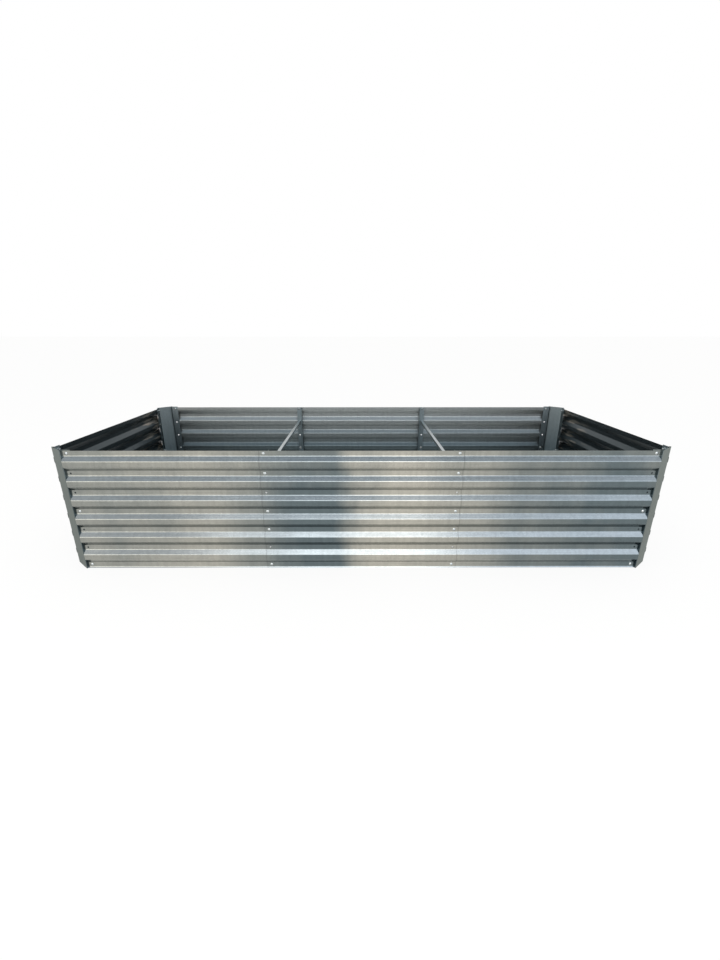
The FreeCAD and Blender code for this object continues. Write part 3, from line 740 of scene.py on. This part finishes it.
# %% Set the bolts in columns
LONG_CORNER = SHORT_WALL - POST_LEG - POST_GAP - HOLE_EDGE
SHORT_CORNER = LONG_WALL - POST_LEG - POST_GAP - HOLE_EDGE
SEAM = LONG_SHEET / 2 - HOLE_EDGE
POST_SEAT = SHEET
SEAM_SEAT = SHEET + LAP_LIFT

bolt_places = []
for wall in ("front", "back"):
    for place, side in (("left", -1), ("right", 1)):
        bolt_places.append((f"bolts_{wall}_post_{place}", wall, side * LONG_CORNER, POST_SEAT))
        bolt_places.append((f"bolts_{wall}_seam_{place}", wall, side * SEAM, SEAM_SEAT))
for wall in ("left", "right"):
    for place, side in (("front", -1), ("back", 1)):
        bolt_places.append((f"bolts_{wall}_post_{place}", wall, side * SHORT_CORNER, POST_SEAT))

bpy.ops.object.select_all(action="DESELECT")
bolt.select_set(True)
bpy.context.view_layer.objects.active = bolt
bolt.rotation_euler = (-math.pi / 2, 0.0, 0.0)
bpy.ops.object.transform_apply(location=True, rotation=True, scale=True)
bpy.ops.object.shade_smooth_by_angle(angle=BOLT_SMOOTH)

bolt_step = RIBS * RIB_PITCH / (COLUMN_BOLTS - 1)
second_row = FIRST_ROW + bolt_step - (BAR_ROW - 1) * RIB_PITCH


def bolt_run(lowest, count):
    """Bolts in a row upwards, one bolt step from each to the next."""
    run = bolt.copy()
    run.data = bolt.data.copy()
    bpy.context.collection.objects.link(run)
    bpy.ops.object.select_all(action="DESELECT")
    run.select_set(True)
    run.location = (0.0, 0.0, lowest)
    bpy.context.view_layer.objects.active = run
    bpy.ops.object.transform_apply(location=True, rotation=True, scale=True)
    if count > 1:
        repeat(run, count, (0.0, 0.0, bolt_step))
    return run


for node, wall, along, out in bolt_places:
    column = bolt_run(FIRST_ROW, COLUMN_BOLTS)
    column.name = "domed_" + node
    if "seam" in node:
        between = bolt_run(second_row, COLUMN_BOLTS - 1)
        column.select_set(True)
        bpy.context.view_layer.objects.active = column
        bpy.ops.object.join()
    stand(column, wall, along, out)
    settle(column)
    dress(column, node, bright_plate)
bpy.data.objects.remove(bolt)
print(len(bolt_places), "columns of bolts")

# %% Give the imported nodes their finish
for name, node in nodes.items():
    if name.startswith(("corner_post", "seam_stiffener")):
        finish = folded_steel
    elif name in ("tie_bar_left", "tie_bar_right"):
        finish = bar_steel
    elif name.startswith(("nuts_", "tie_bar_plugs")):
        finish = bright_plate
    else:
        continue
    node.data.materials.clear()
    node.data.materials.append(finish)

# %% [markdown]
# ## Floor, backdrop and light
#
# The bed stands on a plain pale floor in soft light, against white. To the camera, and in
# what the metal mirrors, most of the floor's brightness is an even white, and the rest is
# the real, shaded paint, which keeps the bed's soft shadow. The ground that the bed
# encloses is plain paint, which the walls shade.
#
# A row of tall softboxes stands in front, brightest at the middle. The zinc mirrors them
# wherever a surface tips up a little: as a bright line in every bend, and as a bright band
# on the upper slopes of the lower ribs. Straight overhead the white turns a little darker
# and cooler, as an open sky does, which keeps the highest slopes grey.

# %% A white that only the camera and mirrors see
def seen_directly(tree):
    """1 for camera, glossy and transmission rays, and 0 for the rest."""
    rays = add_node(tree, "ShaderNodeLightPath").outputs
    seen = maths(tree, "MAXIMUM", rays["Is Camera Ray"], rays["Is Glossy Ray"])
    return maths(tree, "MAXIMUM", seen, rays["Is Transmission Ray"])


# %% The floor
EVEN_WHITE = 0.86
FLOOR_SIZE = 400.0
FLOOR_DROP = 0.0006

bpy.ops.object.select_all(action="DESELECT")
bpy.ops.mesh.primitive_plane_add(size=FLOOR_SIZE, location=(0.0, 0.0, -FLOOR_DROP))
floor = bpy.context.object
floor.name = "studio_floor"

# Matt pale paint: it keeps the bed's shadow and gives nothing back as a mirror.
floor_paint, tree, shader = new_material("pale_floor")
shader.inputs["Base Color"].default_value = linear("#F0F0EE")
shader.inputs["Roughness"].default_value = 0.9
shader.inputs["Specular IOR Level"].default_value = 0.1

# How far out a point is, with 1 at the walls. The posts cut the corners off at 45 degrees.
CORNER_SUM = SHORT_WALL + LONG_WALL - POST_LEG
point = add_node(tree, "ShaderNodeTexCoord").outputs["Object"]
at = add_node(tree, "ShaderNodeSeparateXYZ", {"Vector": point}).outputs
off_x = maths(tree, "ABSOLUTE", at["X"])
off_y = maths(tree, "ABSOLUTE", at["Y"])
to_wall = maths(tree, "MAXIMUM", maths(tree, "DIVIDE", off_x, SHORT_WALL),
                maths(tree, "DIVIDE", off_y, LONG_WALL))
to_corner = maths(tree, "DIVIDE", maths(tree, "ADD", off_x, off_y), CORNER_SUM)
outside = maths(tree, "GREATER_THAN", maths(tree, "MAXIMUM", to_wall, to_corner), 1.0)
share = maths(tree, "MULTIPLY", seen_directly(tree),
              maths(tree, "MULTIPLY", outside, EVEN_WHITE))
even = add_node(tree, "ShaderNodeEmission", {"Color": (1.0, 1.0, 1.0, 1.0), "Strength": 1.0})
mixed = add_node(tree, "ShaderNodeMixShader", {
    0: share, 1: shader.outputs[0], 2: even.outputs[0]})
tree.links.new(mixed.outputs[0], tree.nodes["Material Output"].inputs["Surface"])
floor.data.materials.append(floor_paint)
print("floor", FLOOR_SIZE, "m wide")

# %% The world
SKY_TOP = "#BCC9D6"
SKY_FROM, SKY_TO = 0.5, 0.86

world = bpy.data.worlds.new("white_studio")
bpy.context.scene.world = world
world.use_nodes = True
tree = world.node_tree
tree.nodes.clear()
way = add_node(tree, "ShaderNodeTexCoord").outputs["Generated"]
upwards = add_node(tree, "ShaderNodeSeparateXYZ", {"Vector": way}).outputs["Z"]
overhead = add_node(tree, "ShaderNodeMapRange", {
    "Value": upwards, "From Min": SKY_FROM, "From Max": SKY_TO},
    interpolation_type="SMOOTHSTEP")
mirrored = maths(tree, "MULTIPLY", overhead.outputs[0], seen_directly(tree))
tint = mix_colours(tree, mirrored, (1.0, 1.0, 1.0, 1.0), linear(SKY_TOP))
backdrop = add_node(tree, "ShaderNodeBackground", {"Color": tint, "Strength": 1.0})
add_node(tree, "ShaderNodeOutputWorld", {"Surface": backdrop.outputs[0]})
print("world", world.name)


# %% The softboxes
def softbox(name, place, aim, width, height, white, colour):
    """A rectangular area light that points at a spot and looks as bright as told."""
    bpy.ops.object.select_all(action="DESELECT")
    turn = (Vector(aim) - Vector(place)).to_track_quat("-Z", "Y").to_euler()
    bpy.ops.object.light_add(type="AREA", location=place, rotation=turn)
    lamp = bpy.context.object
    lamp.name = name
    lamp.data.shape = "RECTANGLE"
    lamp.data.size = width
    lamp.data.size_y = height
    lamp.data.energy = white * math.pi * width * height
    lamp.data.color = linear(colour)[:3]


# Name, place, spot it points at, width, height, brightness against white, and colour. They
# stand side by side, so each part of the front wall mirrors one of them.
SOFTBOXES = [
    ("front_softbox", (0.15, -5.2, 2.85), (0.1, -0.6, 0.3), 2.3, 3.4, 2.35, "#FFFFFF"),
    ("beside_softbox", (-1.7, -5.2, 2.85), (-0.5, -0.6, 0.3), 1.5, 3.4, 1.5, "#FFFFFF"),
    ("right_softbox", (3.15, -5.2, 3.0), (1.6, -0.6, 0.3), 3.7, 3.7, 1.15, "#E8F1FF"),
    ("left_softbox", (-5.3, -5.2, 2.2), (-0.8, -0.6, 0.3), 5.6, 2.8, 1.9, "#FFF8EC"),
]
for box in SOFTBOXES:
    softbox(*box)
